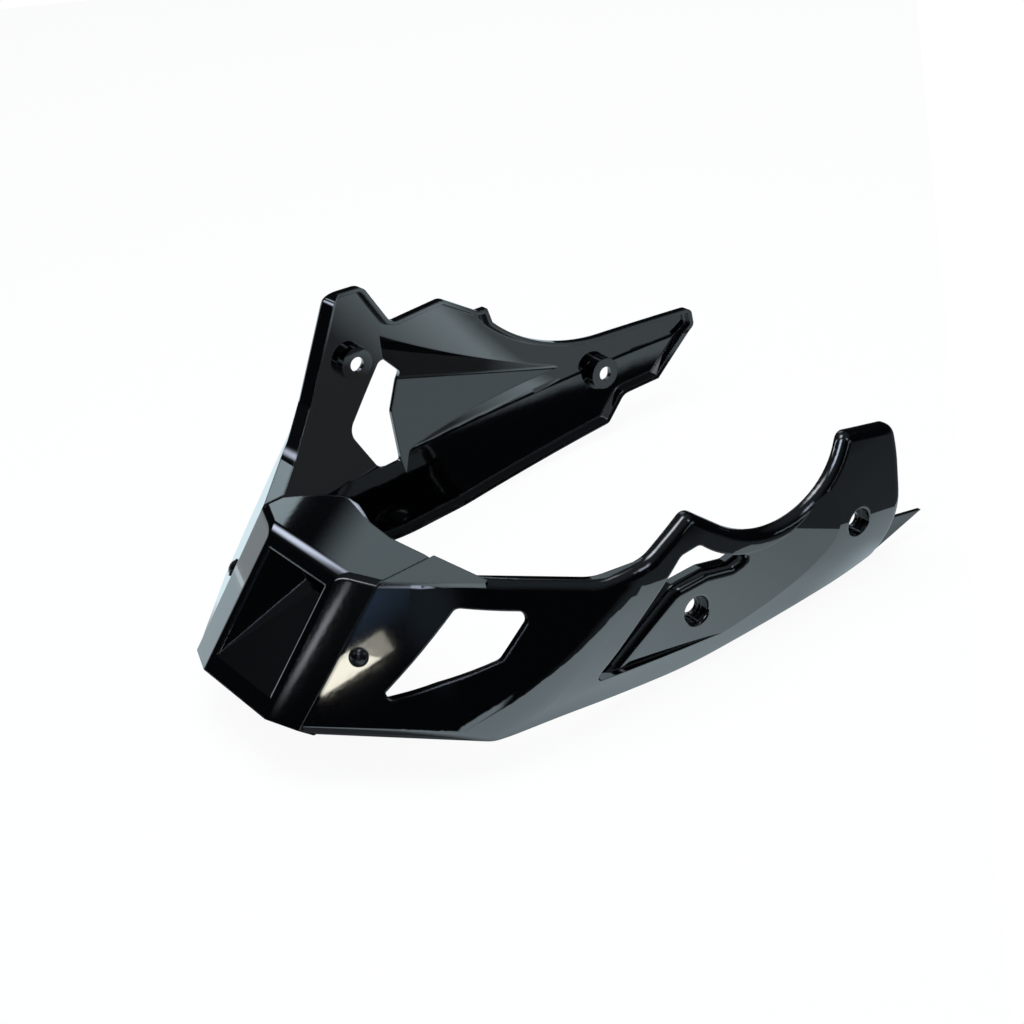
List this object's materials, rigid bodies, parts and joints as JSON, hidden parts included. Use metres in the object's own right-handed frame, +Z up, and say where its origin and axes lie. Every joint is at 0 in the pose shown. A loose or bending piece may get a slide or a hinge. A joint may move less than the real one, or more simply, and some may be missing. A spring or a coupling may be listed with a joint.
{
  "type": "motorcycle belly pan",
  "caption": "Belly pan with a scooped nose cover and a cut-away side panel on each flank, joined by nose screws and hung from bolt cups.",
  "frame": {"origin": "centre of the bounding box at its lowest level, where the feet of the side panels stand", "axes": "+X to the nose, +Y to the left side, +Z up, as fitted to the motorcycle"},
  "size_m": [0.4662, 0.3168, 0.1825],
  "materials": {
    "gloss_black": "high gloss moulded plastic",
    "black_screw": "black coated steel"
  },
  "bodies": {
    "root": {"nose_cover": "gloss_black", "left_side_panel": "gloss_black", "right_side_panel": "gloss_black", "nose_screws": "black_screw"}
  },
  "joints": []
}
